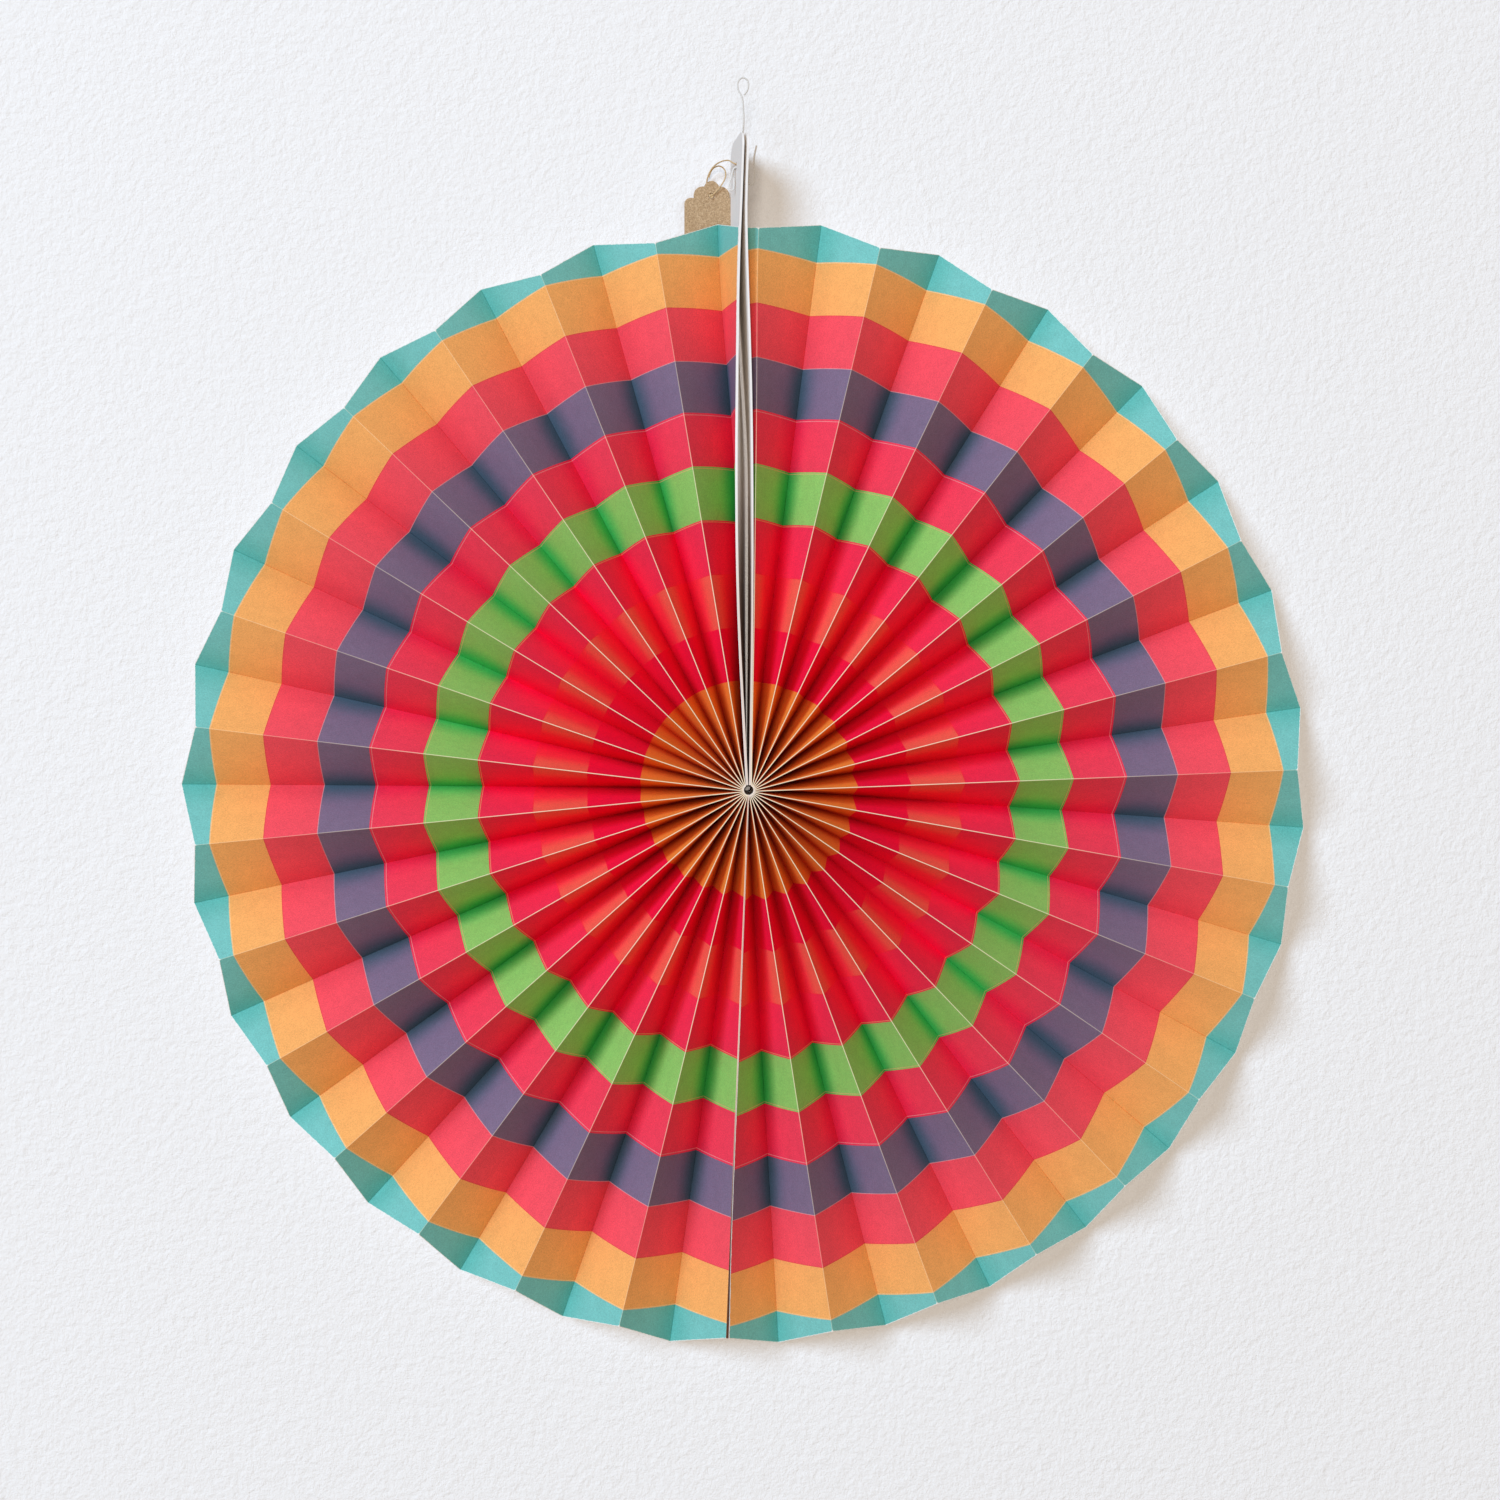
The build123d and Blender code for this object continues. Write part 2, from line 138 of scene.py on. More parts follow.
# Print: bands of one pitch, measured from the hub along the folds, in millimetres. Each band has its
# first pitch, its ink near the ridges and a darker colour in the valleys, which is painted shade. A
# shift is how far the print sits outwards at a sheet's first and last edge.
BAND_PITCH = 26.8
RIGHT_PRINT_SHIFT = (-0.1, 1.05)
LEFT_PRINT_SHIFT = (-0.8, 0.7)
BANDS = [
    (0, (0.97, 0.32, 0.045), (0.97, 0.13, 0.012)),
    (2, (0.96, 0.005, 0.060), (0.96, 0.001, 0.050)),
    (3, (0.96, 0.035, 0.065), (0.95, 0.003, 0.055)),
    (4, (0.96, 0.030, 0.090), (0.95, 0.002, 0.070)),
    (5, (0.31, 0.62, 0.15), (0.06, 0.50, 0.11)),
    (6, (0.94, 0.055, 0.105), (0.80, 0.022, 0.082)),
    (7, (0.22, 0.16, 0.25), (0.07, 0.115, 0.165)),
    (8, (0.92, 0.085, 0.118), (0.77, 0.070, 0.100)),
    (9, (0.94, 0.43, 0.13), (0.80, 0.39, 0.120)),
    (10, (0.19, 0.54, 0.50), (0.13, 0.47, 0.42)),
]
# Paler patches beside the ridges, between two numbers of pitches, with a border in units of the map
PATCH_PITCHES = (3, 4)
PATCH_BORDER = 0.0006
PATCH_INK = (0.97, 0.135, 0.090)
# Thin lines where two inks meet: each colour holds from half a band before its first meeting
MEETINGS = [
    (0, (0.95, 0.50, 0.22)),
    (6.5, (0.90, 0.42, 0.42)),
    (8.5, (0.70, 0.06, 0.05)),
    (9.5, (0.90, 0.72, 0.42)),
]
PAPER_WHITE = (0.95, 0.91, 0.86)
WORN_RIDGE = (1.0, 0.84, 0.60)
WORN_HUB = (1.0, 0.84, 0.72)
FLAP_SHADE = (0.16, 0.07, 0.04)
FLAP_LIGHT = (0.97, 0.72, 0.58)

# Colours of the other materials: pairs of a darker and a lighter tone, and single tones
PLAIN_PAPER = ((0.80, 0.77, 0.72), (0.93, 0.91, 0.88))
BOARD_WHITE = ((0.86, 0.80, 0.77), (0.96, 0.93, 0.91))
# Painted shade: the inner side of a board, low down
BOARD_SLOT_SHADE = ((0.33, 0.21, 0.16), (0.45, 0.31, 0.25))
BOARD_PALE = ((0.92, 0.83, 0.75), (0.98, 0.92, 0.86))
KRAFT = ((0.35, 0.22, 0.115), (0.50, 0.335, 0.19))
# The white cord's darker tone is painted shade between its strands
WHITE_CORD_WITH_SHADE = ((0.56, 0.50, 0.44), (0.97, 0.96, 0.94))
CREAM_TWINE = ((0.42, 0.25, 0.11), (0.88, 0.66, 0.38))
# Dark brown binding thread, its tones darkened further as painted shade of the hub hole
BINDING_WITH_HOLE_SHADE = ((0.02, 0.010, 0.006), (0.12, 0.06, 0.03))
# Painted shade: the tone of a board's front edge, low down
BOARD_FOOT_SHADE = (0.80, 0.66, 0.57)
KRAFT_PALE_FIBRE = (0.66, 0.47, 0.29)
KRAFT_DARK_FIBRE = (0.20, 0.115, 0.06)
WALL_COLOUR = (0.925, 0.895, 0.882)

# Camera, wall and light: places and sizes in metres, lens and sensor in millimetres, power in watts. A
# lamp shines on the origin from its direction.
CAMERA_PLACE = (-0.0332, -1.1379, 0.0490)
CAMERA_AIM = (0.0012, 0.0, 0.0194)
CAMERA_LENS = 54.28
CAMERA_SENSOR = 36.0
CAMERA_CLIP = 0.05
WALL_DEPTH = 0.0225
WALL_HALF_SIZE = 4.0
KEY_DIRECTION = (-0.52, -0.77, 0.37)
KEY_POWER = 445.0
KEY_SIZE = 3.8
KEY_COLOUR = (0.79, 1.06, 1.38)
FILL_DIRECTION = (-0.10, -1.0, 0.16)
FILL_POWER = 245.0
FILL_SIZE = 2.4
FILL_COLOUR = (1.0, 0.94, 0.86)
BACK_DIRECTION = (0.35, 1.0, 0.35)
BACK_POWER = 260.0
BACK_SIZE = 4.0
BACK_COLOUR = (0.90, 1.0, 1.14)
LAMP_DISTANCE = 9.0
SKY_COLOUR = (1.0, 0.84, 0.66)
SKY_STRENGTH = 0.35
BACKDROP_COLOUR = (0.87, 0.88, 0.89)

# Cord and twine routes, in millimetres: x, y and the height above the board holes
CORD_DIAMETER = 0.8
TWINE_DIAMETER = 0.7
CORD_POINTS = [
    (4.4, -1.6, 10.1),
    (3.6, -1.6, 6.5),
    (3.0, -1.7, 2.5),
    (3.3, -1.8, -1.5),
    (3.2, -1.9, -5.3),
    (3.1, -1.9, -8.8),
    (1.7, -1.75, -9.7),
    (0.35, -1.5, -8.8),
    (0.55, -1.2, -4.9),
    (0.1, -0.9, -1.3),
    (-1.7, -0.7, -0.6),
    (-4.2, -0.7, -0.7),
    (-6.6, -0.7, -0.6),
    (-7.6, -1.0, -2.3),
    (-8.2, -1.5, -5.9),
    (-9.3, -1.8, -9.1),
    (-9.4, -1.9, -11.8),
    (-8.2, -1.8, -12.5),
    (-7.0, -1.5, -11.8),
    (-6.8, -0.9, -8.7),
    (-6.9, -0.1, -5.1),
    (-7.1, 0.6, -1.9),
    (-6.0, 0.8, -0.5),
    (-4.4, 0.9, 0.0),
    (-4.05, 0.6, 1.7),
    (-3.8, -1.5, 5.5),
    (-3.0, -6.4, 12.1),
    (-2.1, -11.0, 19.1),
    (-2.5, -11.6, 25.9),
    (-2.9, -11.5, 31.7),
    (-5.3, -11.4, 35.1),
    (-5.3, -11.3, 39.5),
    (-2.4, -11.3, 41.7),
    (0.3, -11.4, 39.1),
    (-0.1, -11.9, 34.7),
    (-2.0, -12.6, 32.3),
]
TWINE_POINTS = [
    (-4.6, 0.2, 1.1),
    (-7.0, 0.6, 1.5),
    (-8.9, 3.0, 3.8),
    (-11.9, 8.5, 4.9),
    (-15.1, 13.2, 4.5),
    (-17.7, 16.4, 2.8),
    (-19.5, 18.6, -0.2),
    (-20.4, 20.8, -3.4),
    (-19.9, 21.3, -6.0),
    (-18.4, 21.2, -8.9),
    (-17.8, 19.65, -10.5),
    (-16.8, 18.2, -9.9),
    (-14.2, 17.6, -7.2),
    (-11.9, 17.0, -4.3),
    (-10.4, 16.2, -1.0),
    (-11.0, 15.4, 2.0),
    (-13.3, 15.4, 3.9),
    (-16.3, 16.4, 3.6),
    (-18.4, 17.8, 1.3),
    (-19.1, 19.2, -1.2),
]
# Knot at the tag, in millimetres: its middle, how far its loops reach and the radius of its strand
KNOT_PLACE = (-17.8, 18.8, 300.6)
KNOT_REACH = 1.0
KNOT_STRAND = 0.42

# Sockets of a Mix node that hold colours
MIX_FIRST = 6
MIX_SECOND = 7
MIX_RESULT = 2


def ease(x):
    """0 below 0, 1 above 1, and a smooth cubic step between them."""
    x = np.clip(x, 0.0, 1.0)
    return x * x * (3 - 2 * x)


def unit(v):
    return v / np.linalg.norm(v, axis=-1, keepdims=True)


# Where the boards stand, as in the solids

def board_face(side, z, y):
    """Sideways place of a board's outer face: its middle line runs straight from front to back, each
    end leaning and bowing with height, and the face lies half a board away along the normal."""
    pinch = (z - RIM_LEAN_HEIGHT) / RIM_LEAN_LENGTH
    lean_front = -FRONT_LEAN * np.sin(np.pi * z / BOARD_TOP) - RIM_LEAN * np.exp(-pinch * pinch / 2)
    lean_back = -BACK_LEAN * ease((z - BACK_LEAN_START) / BACK_LEAN_LENGTH)
    slot = HUB_BOARD_GAP + (TOP_BOARD_GAP - HUB_BOARD_GAP) * ease(z / BOARD_GAP_RISE)
    bow = BOARD_BOW * np.sin(np.pi * np.minimum(z, BOARD_BOW_LENGTH) / BOARD_BOW_LENGTH)
    half = (slot + BOARD) / 2
    front = lean_front + side * (half + bow / 2)
    back = lean_back + side * half
    slope = (back - front) / BOARD_DEPTH
    return front + slope * (y - FRONT) + side * BOARD / 2 * np.sqrt(1 + slope * slope)


# Fold lines: arrays of points from the hub to the rim, and the kind of each

def spread(span, bulge, count):
    """Fold angles: an even spread, plus a bell and a bell that changes sign half way."""
    s = np.arange(count + 1) / count
    even = span[0] + (span[1] - span[0]) * s
    return even + bulge[0] * s * (1 - s) + bulge[1] * s * (1 - s) * (1 - 2 * s)


def pitch_at(angles, k):
    """Mean angle between a fold and its neighbours."""
    low = max(k - 1, 0)
    high = min(k + 1, len(angles) - 1)
    return (angles[high] - angles[low]) / (high - low)


def pleat_depth(radius, pitch):
    """Depth of a pleat whose panels keep their width while their folds lie a chord apart."""
    return np.sqrt(PANEL_WIDTH ** 2 - (2 * radius * np.sin(np.radians(pitch) / 2)) ** 2)


def line(x, y, z):
    return np.stack(np.broadcast_arrays(x, y, z), axis=-1).astype(float)


def radial_fold(angle, shift, pitch, ridge, slant):
    """A fold that runs out from the hub at an angle, shifted sideways by the boards or the seam."""
    a = np.radians(angle)
    start = np.sqrt(HUB_RADIUS ** 2 - shift ** 2)
    r = np.linspace(start, (RIDGE_REACH if ridge else VALLEY_REACH) + slant, STATIONS)
    half = pleat_depth(r, pitch) / 2
    y = -half if ridge else half
    points = line(r * np.sin(a) + shift * np.cos(a), y, r * np.cos(a) - shift * np.sin(a))
    return points, "ridge" if ridge else "valley"


def right_end_folds(pitch):
    """Glued edge, soft bend and first ridge, which leaves the board with the cube of the height."""
    start = np.sqrt(HUB_RADIUS ** 2 - HUB_SHIFT ** 2)
    z = np.linspace(start, RIGHT_END_REACH, STATIONS)
    y = BACK - END_INSET
    glued = line(board_face(1, z, y) + GLUE_GAP + PAPER, y, z)
    y = RIGHT_BEND_DEPTH - pleat_depth(z, pitch) / 2
    bend = line(board_face(1, z, y) + GLUE_GAP + PAPER, y, z)
    z = np.linspace(start, FIRST_RIDGE_REACH, STATIONS)
    y = -pleat_depth(z, pitch) / 2
    strip = RIGHT_STRIP * (z / FIRST_RIDGE_REACH) ** 3
    ridge = line(board_face(1, z, y) + GLUE_GAP + PAPER + strip, y, z)
    return [(glued, "ridge"), (bend, "ridge"), (ridge, "ridge")]


def left_end_folds(pitch):
    """Last valley, soft bend and glued front edge. The bend keeps to the board, or to the straight
    line from the valley to the edge where the board turns away."""
    start = np.sqrt(HUB_RADIUS ** 2 - HUB_SHIFT ** 2)
    near = np.linspace(start, LEFT_END_REACH, STATIONS)
    far = np.linspace(start, VALLEY_REACH + LEFT_SLANT[1], STATIONS)
    y = pleat_depth(far, pitch) / 2
    valley = line(board_face(-1, far, y) - GLUE_GAP - PAPER - LEFT_STRIP * far / VALLEY_REACH, y, far)
    edge_y = FRONT + END_INSET
    edge = line(board_face(-1, near, edge_y) - GLUE_GAP - PAPER, edge_y, near)
    share = (LEFT_BEND_DEPTH - edge_y) / (valley[:, 1] - edge_y)
    straight = edge + (valley - edge) * share[:, None]
    on_board = board_face(-1, straight[:, 2], LEFT_BEND_DEPTH) - GLUE_GAP - PAPER
    bend = line(np.minimum(on_board, straight[:, 0]), LEFT_BEND_DEPTH, straight[:, 2])
    return [(valley, "valley"), (bend, "valley"), (edge, "valley")]


def panel_normals(a, b):
    """Normals of the printed side: across times along, turned so that a ridge line and a valley line
    end up one paper thickness apart."""
    offset = {("ridge", "valley"): PAPER, ("valley", "ridge"): -PAPER}.get((a[1], b[1]), 0.0)
    along = unit(np.gradient(a[0], axis=0) + np.gradient(b[0], axis=0))
    across = b[0] - a[0]
    across = across - along * np.sum(across * along, axis=1, keepdims=True)
    tilt = offset / np.linalg.norm(across, axis=1, keepdims=True)
    across = unit(across)
    return np.cross(across, along) * np.sqrt(1 - tilt * tilt) + across * tilt


def back_directions(valley, ridge):
    """Directions from a ridge along the back of its panel, towards the valley."""
    normals = panel_normals(valley, ridge)
    return unit(valley[0] - normals * PAPER - ridge[0])


def fold_lines():
    """Fold lines of both sheets, each with the distance of every line from its nearest ridge."""
    angles = spread(RIGHT_SPAN, RIGHT_BULGE, FOLDS_PER_SHEET)
    right = right_end_folds(pitch_at(angles, 0))
    for k in range(1, FOLDS_PER_SHEET + 1):
        s = k / FOLDS_PER_SHEET
        shift = HUB_SHIFT * (1 - s) - (PAPER + GLUE_GAP) / 2 * s
        slant = RIGHT_SLANT[0] * (1 - s) + RIGHT_SLANT[1] * s
        right.append(radial_fold(angles[k], shift, pitch_at(angles, k), k % 2 == 0, slant))
    seam = right[-1]
    valley = right[-2]
    inward = back_directions(valley, seam)
    fraction = np.linspace(0, 1, STATIONS)
    growth = ease((fraction - SEAM_OPENING_START) / (1 - SEAM_OPENING_START))
    opening = SEAM_STEP + SEAM_OPENING * growth
    right[-1] = (seam[0] + inward * opening[:, None], "ridge")
    right_distance = [PANEL_WIDTH, RIGHT_BEND_DEPTH, 0.0]
    right_distance += [PANEL_WIDTH if k % 2 else 0.0 for k in range(1, FOLDS_PER_SHEET + 1)]

    normals = panel_normals(valley, seam)
    ridge = seam[0] - normals * (PAPER + GLUE_GAP)
    left = [(ridge + inward * FLAP_WIDTH, "ridge"), (ridge, "ridge")]
    angles = spread(LEFT_SPAN, LEFT_BULGE, FOLDS_PER_SHEET - 1)
    for k in range(1, FOLDS_PER_SHEET - 1):
        s = k / (FOLDS_PER_SHEET - 1)
        shift = (PAPER + GLUE_GAP) / 2 * (1 - s) - HUB_SHIFT * s
        slant = LEFT_SLANT[0] * (1 - s) + LEFT_SLANT[1] * s
        left.append(radial_fold(angles[k], shift, pitch_at(angles, k), k % 2 == 0, slant))
    left += left_end_folds(pitch_at(angles, FOLDS_PER_SHEET - 1))
    left_distance = [FLAP_WIDTH, SEAM_RIDGE_GAP]
    left_distance += [PANEL_WIDTH if k % 2 else 0.0 for k in range(1, FOLDS_PER_SHEET - 1)]
    left_distance += [PANEL_WIDTH, LEFT_BEND_RIDGE_GAP, 0.0]
    return (right, right_distance), (left, left_distance)


# Sheets

def add_object(name, data):
    obj = bpy.data.objects.new(name, data)
    bpy.context.scene.collection.objects.link(obj)
    return obj


def both_sides(fold, turn):
    """Front and back of the paper at a fold line, which is the inner side of the fold itself."""
    points, kind = fold
    if kind == "ridge":
        return points + turn * PAPER, points
    return points, points - turn * PAPER


def sheet_columns(lines, distances):
    """Columns of points over the front and the back of a sheet, from its first edge to its last, with
    each column's distance from the nearest ridge and from the first edge.

    Each fold is three columns: the paper's outer side turns round the fold line on an arc of one
    thickness, and its inner side is the fold line itself. Panels bow a little towards the rim."""
    front = []
    back = []
    ridge_gap = []
    running = []
    travelled = 0.0
    last = len(lines) - 1
    growth = ease((np.linspace(0, 1, STATIONS) - BOW_START) / BOW_GROWTH)
    normals = [panel_normals(a, b) for a, b in zip(lines, lines[1:])]
    for k, fold in enumerate(lines):
        if k == 0:
            turns = [normals[0]]
        elif k == last:
            turns = [normals[-1]]
        else:
            turns = [normals[k - 1], unit(normals[k - 1] + normals[k]), normals[k]]
        for turn in turns:
            front_point, back_point = both_sides(fold, turn)
            front.append(front_point)
            back.append(back_point)
            ridge_gap.append(distances[k])
            running.append(travelled)
        if k == last:
            break
        front_a, back_a = both_sides(fold, normals[k])
        front_b, back_b = both_sides(lines[k + 1], normals[k])
        step = abs(distances[k + 1] - distances[k])
        bowed = FLAT_PANELS[0] <= k < last - FLAT_PANELS[1]
        bow = bowed * PANEL_BOW * np.sin(BOW_TURN * k + BOW_PHASE) * growth
        for m in range(1, PANEL_COLUMNS):
            t = m / PANEL_COLUMNS
            swell = (bow * 4 * t * (1 - t))[:, None] * normals[k]
            front.append(front_a + (front_b - front_a) * t + swell)
            back.append(back_a + (back_b - back_a) * t + swell)
            ridge_gap.append(distances[k] + (distances[k + 1] - distances[k]) * t)
            running.append(travelled + step * t)
        travelled += step
    return np.array(front), np.array(back), np.array(ridge_gap), np.array(running)


def pleated_sheet(name, lines, distances, print_shift, flap):
    """A folded sheet of paper as a closed mesh with two maps.

    Folds holds the distance from the nearest ridge, in panel widths, and the distance from the hub.
    Edges holds the distance from the sheet's last edge, or the mark of the glue flap, and the distance
    from the rim. But for the first, one unit is MAP_LENGTH."""
    front, back, ridge_gap, running = sheet_columns(lines, distances)
    width = running[-1]
    columns = len(front)
    index = np.arange(columns * STATIONS).reshape(columns, STATIONS)
    under = index + columns * STATIONS

    def quads(a, b, c, d):
        return np.stack([a.ravel(), b.ravel(), c.ravel(), d.ravel()], axis=1)

    printed = quads(index[:-1, :-1], index[1:, :-1], index[1:, 1:], index[:-1, 1:])
    plain = quads(under[:-1, :-1], under[:-1, 1:], under[1:, 1:], under[1:, :-1])
    hub_edge = quads(index[:-1, 0], under[:-1, 0], under[1:, 0], index[1:, 0])
    rim_edge = quads(index[:-1, -1], index[1:, -1], under[1:, -1], under[:-1, -1])
    first_edge = quads(index[0, :-1], index[0, 1:], under[0, 1:], under[0, :-1])
    last_edge = quads(index[-1, :-1], under[-1, :-1], under[-1, 1:], index[-1, 1:])
    faces = np.concatenate([printed, plain, hub_edge, rim_edge, first_edge, last_edge])
    vertices = np.concatenate([front.reshape(-1, 3), back.reshape(-1, 3)]) * MM

    mesh = bpy.data.meshes.new(name)
    mesh.from_pydata(vertices.tolist(), [], faces.tolist())
    along = np.sqrt(front[:, :, 0] ** 2 + front[:, :, 2] ** 2)
    gap = np.broadcast_to(ridge_gap[:, None], along.shape)
    run = np.broadcast_to(running[:, None], along.shape)
    shifted = along - print_shift[0] - (print_shift[1] - print_shift[0]) * run / width
    from_last = np.where(run < flap + MAP_TOLERANCE, FLAP_MARK, width - run)
    from_rim = along[:, -1:] - along
    loops = faces.ravel()

    def add_map(title, u, v):
        values = np.stack([np.tile(u.ravel(), 2), np.tile(v.ravel(), 2)], axis=1)[loops]
        mesh.uv_layers.new(name=title).data.foreach_set("uv", values.ravel().astype(np.float32))

    add_map("Folds", gap / PANEL_WIDTH, shifted / MAP_LENGTH)
    add_map("Edges", from_last / MAP_LENGTH, from_rim / MAP_LENGTH)
    # The printed side takes the first material, and the back and the edges the second
    material_index = np.ones(len(faces), dtype=np.int32)
    material_index[: len(printed)] = 0
    mesh.polygons.foreach_set("material_index", material_index)
    mesh.shade_smooth()
    mesh.set_sharp_from_angle(angle=np.radians(SHARP_ANGLE))
    return add_object(name, mesh)


# Nodes

def new_material(name, roughness, specular):
    material = bpy.data.materials.new(name)
    material.use_nodes = True
    shader = material.node_tree.nodes["Principled BSDF"]
    shader.inputs["Roughness"].default_value = roughness
    shader.inputs["Specular IOR Level"].default_value = specular
    return material, material.node_tree, shader


def set_input(tree, socket, value):
    """Give a socket a number, or link it to another node's result."""
    if isinstance(value, (int, float)):
        socket.default_value = value
    else:
        tree.links.new(value, socket)


def math_node(tree, operation, *values):
    node = tree.nodes.new("ShaderNodeMath")
    node.operation = operation
    for socket, value in zip(node.inputs, values):
        set_input(tree, socket, value)
    return node.outputs[0]


def add(tree, a, b):
    return math_node(tree, "ADD", a, b)


def subtract(tree, a, b):
    return math_node(tree, "SUBTRACT", a, b)


def multiply(tree, a, b):
    return math_node(tree, "MULTIPLY", a, b)


def step_down(tree, value, low, high):
    """1 below low, 0 above high, and a smooth step between them."""
    node = tree.nodes.new("ShaderNodeMapRange")
    node.interpolation_type = "SMOOTHSTEP"
    node.inputs["To Min"].default_value = 1.0
    node.inputs["To Max"].default_value = 0.0
    set_input(tree, node.inputs["From Min"], low)
    set_input(tree, node.inputs["From Max"], high)
    set_input(tree, node.inputs["Value"], value)
    return node.outputs["Result"]


def step_up(tree, value, low, high):
    """0 below low, 1 above high, and a smooth step between them."""
    return subtract(tree, 1.0, step_down(tree, value, low, high))


def noise(tree, coordinates, scale, detail=3.0, roughness=0.55):
    node = tree.nodes.new("ShaderNodeTexNoise")
    node.inputs["Scale"].default_value = scale
    node.inputs["Detail"].default_value = detail
    node.inputs["Roughness"].default_value = roughness
    tree.links.new(coordinates, node.inputs["Vector"])
    return node.outputs["Fac"]


def centred(tree, value, amount):
    """A noise value as a small departure from nothing: amount times its difference from one half."""
    return multiply(tree, subtract(tree, value, 0.5), amount)


def uneven_edge(tree, place, distance, width, scale, amount, least, solid):
    """1 close to an edge and 0 away from it, full up to the solid share of a width that noise varies.

    The width keeps to its least size, because a step whose bounds fall below 0 turns round."""
    change = centred(tree, noise(tree, place, scale), amount)
    far = math_node(tree, "MAXIMUM", add(tree, width, change), least)
    return step_down(tree, distance, multiply(tree, far, solid), far)


def mix_colours(tree, factor, a, b, blend="MIX"):
    node = tree.nodes.new("ShaderNodeMix")
    node.data_type = "RGBA"
    node.blend_type = blend
    set_input(tree, node.inputs[0], factor)
    for socket, value in ((node.inputs[MIX_FIRST], a), (node.inputs[MIX_SECOND], b)):
        if isinstance(value, tuple):
            socket.default_value = (*value, 1.0)
        else:
            tree.links.new(value, socket)
    return node.outputs[MIX_RESULT]


def mix_shaders(tree, factor, a, b):
    node = tree.nodes.new("ShaderNodeMixShader")
    for socket, value in zip(node.inputs, (factor, a, b)):
        tree.links.new(value, socket)
    return node.outputs[0]


def bump(tree, shader, height, strength, distance):
    node = tree.nodes.new("ShaderNodeBump")
    node.inputs["Strength"].default_value = strength
    node.inputs["Distance"].default_value = distance
    tree.links.new(height, node.inputs["Height"])
    tree.links.new(node.outputs["Normal"], shader.inputs["Normal"])


def object_coordinates(tree):
    return tree.nodes.new("ShaderNodeTexCoord").outputs["Object"]


def separate(tree, vector):
    """The coordinates of a vector."""
    node = tree.nodes.new("ShaderNodeSeparateXYZ")
    tree.links.new(vector, node.inputs[0])
    return node.outputs


def map_parts(tree, name):
    """Both coordinates of one of the sheet's maps."""
    node = tree.nodes.new("ShaderNodeUVMap")
    node.uv_map = name
    parts = separate(tree, node.outputs["UV"])
    return parts["X"], parts["Y"]


def band_ramp(tree, place, stops):
    """A ramp of flat colours over the distance from the hub: each stop is a number of pitches and a
    colour. A new ramp already has some stops, which are used first."""
    node = tree.nodes.new("ShaderNodeValToRGB")
    node.color_ramp.interpolation = "CONSTANT"
    elements = node.color_ramp.elements
    ready = len(elements)
    for k, (count, colour) in enumerate(stops):
        stop = elements[k] if k < ready else elements.new(1.0)
        stop.position = count * BAND_PITCH / MAP_LENGTH
        stop.color = (*colour, 1.0)
    tree.links.new(place, node.inputs["Fac"])
    return node.outputs["Color"]


def up_to_pitch(tree, place, count):
    """1 closer to the hub than a number of pitches, and 0 beyond it."""
    border = count * BAND_PITCH / MAP_LENGTH
    return step_down(tree, place, border, border + PATCH_BORDER)


# Materials

